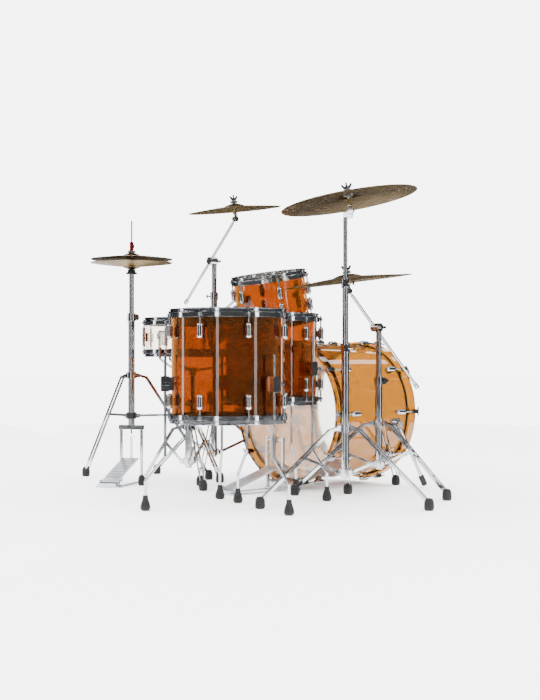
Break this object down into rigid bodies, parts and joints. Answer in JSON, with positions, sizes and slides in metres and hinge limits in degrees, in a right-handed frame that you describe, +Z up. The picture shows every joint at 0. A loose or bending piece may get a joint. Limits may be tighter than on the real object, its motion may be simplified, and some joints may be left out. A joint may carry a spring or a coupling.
{
  "type": "acoustic drum kit",
  "caption": "Acoustic drum kit with tinted acrylic shells, chrome stands, a boom-mounted tom, floor toms, snare, hi-hat, crash and ride cymbals and a bass drum pedal.",
  "frame": {"origin": "centre of the kit's bounding box, on the floor", "axes": "+X to the player's right, +Y from the player toward the audience, +Z up"},
  "size_m": [1.9454, 1.3788, 1.2548],
  "materials": {
    "chrome": "polished plate",
    "steel": "satin",
    "amber_acrylic": "clear tinted gloss",
    "clear_acrylic": "clear gloss",
    "clear_film": "clear polyester film",
    "coated_film": "coated polyester film",
    "rubber": "moulded",
    "bronze": "lathed and lacquered"
  },
  "bodies": {
    "kit": {"bass_shell": "amber_acrylic", "bass_heads": "clear_film", "bass_hoops": "amber_acrylic", "bass_lugs": "chrome", "bass_claws": "chrome", "kick_base": "steel", "kick_chain": "steel", "floor16_shell": "amber_acrylic", "floor16_heads": "clear_film", "floor16_hoops": "chrome", "floor16_lugs": "chrome", "floor14_shell": "amber_acrylic", "floor14_heads": "clear_film", "floor14_hoops": "chrome", "floor14_lugs": "chrome", "leg_brackets": "chrome", "tom_arm": "chrome", "snare_stand": "chrome", "hat_stand": "chrome", "hat_tube": "chrome", "hat_bottom": "bronze", "crash_right_stand": "chrome", "ride_stand": "chrome", "crash_left_stand": "chrome", "stand_feet": "rubber"},
    "spur_right": {"spur_right": "chrome"},
    "spur_left": {"spur_left": "chrome"},
    "kick_footboard": {"kick_footboard": "steel"},
    "kick_beater": {"kick_beater": "chrome"},
    "floor16_legs": {"floor16_legs": "chrome", "floor16_feet": "rubber"},
    "floor14_legs": {"floor14_legs": "chrome", "floor14_feet": "rubber"},
    "tom": {"tom_shell": "amber_acrylic", "tom_heads": "clear_film", "tom_hoops": "chrome", "tom_lugs": "chrome"},
    "snare": {"snare_shell": "clear_acrylic", "snare_heads": "coated_film", "snare_hoops": "chrome", "snare_lugs": "chrome", "snare_wires": "steel", "snare_basket": "chrome"},
    "strainer_lever": {"strainer_lever": "chrome"},
    "hat_footboard": {"hat_footboard": "steel"},
    "hat_rod": {"hat_rod": "chrome", "hat_chain": "steel", "hat_top": "bronze"},
    "crash_right_mid": {"crash_right_mid": "chrome"},
    "crash_right_top": {"crash_right_top": "chrome"},
    "crash_right_tilter": {"crash_right_tilter": "chrome"},
    "crash_right_cymbal": {"crash_right_cymbal": "bronze"},
    "ride_mast": {"ride_mast": "chrome"},
    "ride_boom": {"ride_boom": "chrome"},
    "ride_tilter": {"ride_tilter": "chrome"},
    "ride_cymbal": {"ride_cymbal": "bronze"},
    "crash_left_mast": {"crash_left_mast": "chrome"},
    "crash_left_boom": {"crash_left_boom": "chrome"},
    "crash_left_tilter": {"crash_left_tilter": "chrome"},
    "crash_left_cymbal": {"crash_left_cymbal": "bronze"}
  },
  "joints": [
    {"name": "spur_right_fold", "type": "hinge", "parent": "kit", "child": "spur_right", "pos_m": [0.3721, 0.5562, 0.262], "axis": [1, 0, 0], "range_deg": [0, 60]},
    {"name": "spur_left_fold", "type": "hinge", "parent": "kit", "child": "spur_left", "pos_m": [-0.2235, 0.5562, 0.262], "axis": [1, 0, 0], "range_deg": [0, 60]},
    {"name": "kick_footboard_press", "type": "hinge", "parent": "kit", "child": "kick_footboard", "pos_m": [0.0743, -0.1058, 0.02], "axis": [-1, 0, 0], "range_deg": [0, 11]},
    {"name": "kick_beater_swing", "type": "hinge", "parent": "kit", "child": "kick_beater", "pos_m": [0.0743, 0.1442, 0.205], "axis": [-1, 0, 0], "range_deg": [0, 55], "stiffness_Nm_per_rad": 0.5, "springref_deg": -45.84},
    {"name": "floor16_leg_height", "type": "slide", "parent": "kit", "child": "floor16_legs", "axis": [0, 0, 1], "range_m": [0, 0.06]},
    {"name": "floor14_leg_height", "type": "slide", "parent": "kit", "child": "floor14_legs", "axis": [0, 0, 1], "range_m": [0, 0.06]},
    {"name": "tom_tilt", "type": "hinge", "parent": "kit", "child": "tom", "pos_m": [-0.2952, 0.29657, 0.78796], "axis": [1, 0, 0], "range_deg": [-5, 15]},
    {"name": "snare_height", "type": "slide", "parent": "kit", "child": "snare", "axis": [0, 0, 1], "range_m": [0, 0.08]},
    {"name": "strainer_throw", "type": "hinge", "parent": "snare", "child": "strainer_lever", "pos_m": [-0.4887, -0.0168, 0.637], "axis": [0, 1, 0], "range_deg": [0, 70]},
    {"name": "hat_footboard_press", "type": "hinge", "parent": "kit", "child": "hat_footboard", "pos_m": [-0.47722, -0.28581, 0.02], "axis": [-0.848, -0.5299, 0], "range_deg": [0, 3.2]},
    {"name": "hat_rod_pull", "type": "slide", "parent": "kit", "child": "hat_rod", "axis": [0, 0, -1], "range_m": [0, 0.0136], "stiffness_N_per_m": 900, "springref_m": -0.045},
    {"name": "crash_right_height", "type": "slide", "parent": "kit", "child": "crash_right_mid", "axis": [0, 0, 1], "range_m": [0, 0.12]},
    {"name": "crash_right_top_height", "type": "slide", "parent": "crash_right_mid", "child": "crash_right_top", "axis": [0, 0, 1], "range_m": [0, 0.12]},
    {"name": "crash_right_tilt", "type": "hinge", "parent": "crash_right_top", "child": "crash_right_tilter", "pos_m": [0.63388, -0.00062, 1.08], "axis": [0.5592, -0.829, 0], "range_deg": [-10, 20]},
    {"name": "crash_right_spin", "type": "hinge", "parent": "crash_right_tilter", "child": "crash_right_cymbal", "pos_m": [0.63388, -0.00062, 1.08], "axis": [-0.1397, -0.0942, 0.9857], "continuous": true},
    {"name": "ride_height", "type": "slide", "parent": "kit", "child": "ride_mast", "axis": [0, 0, 1], "range_m": [0, 0.12]},
    {"name": "ride_boom_rise", "type": "hinge", "parent": "ride_mast", "child": "ride_boom", "pos_m": [0.4503, 0.3562, 0.66], "axis": [-1, 0, 0], "range_deg": [0, 20]},
    {"name": "ride_tilt", "type": "hinge", "parent": "ride_boom", "child": "ride_tilter", "pos_m": [0.4293, 0.2062, 0.79988], "axis": [0.891, -0.454, 0], "range_deg": [-12, 12]},
    {"name": "ride_spin", "type": "hinge", "parent": "ride_tilter", "child": "ride_cymbal", "pos_m": [0.4293, 0.2062, 0.79988], "axis": [-0.0553, -0.1086, 0.9925], "continuous": true},
    {"name": "crash_left_height", "type": "slide", "parent": "kit", "child": "crash_left_mast", "axis": [0, 0, 1], "range_m": [0, 0.12]},
    {"name": "crash_left_boom_rise", "type": "hinge", "parent": "crash_left_mast", "child": "crash_left_boom", "pos_m": [-0.4857, 0.2942, 0.975], "axis": [0, -1, 0], "range_deg": [0, 20]},
    {"name": "crash_left_tilt", "type": "hinge", "parent": "crash_left_boom", "child": "crash_left_tilter", "pos_m": [-0.3177, 0.2732, 1.14897], "axis": [0.9986, -0.0523, 0], "range_deg": [-10, 20]},
    {"name": "crash_left_spin", "type": "hinge", "parent": "crash_left_tilter", "child": "crash_left_cymbal", "pos_m": [-0.3177, 0.2732, 1.14897], "axis": [-0.0059, -0.113, 0.9936], "continuous": true}
  ],
  "couplings": [
    {"joint": "kick_beater_swing", "follows": "kick_footboard_press", "ratio": 5},
    {"joint": "hat_rod_pull", "follows": "hat_footboard_press", "m_per_rad": 0.24302}
  ]
}
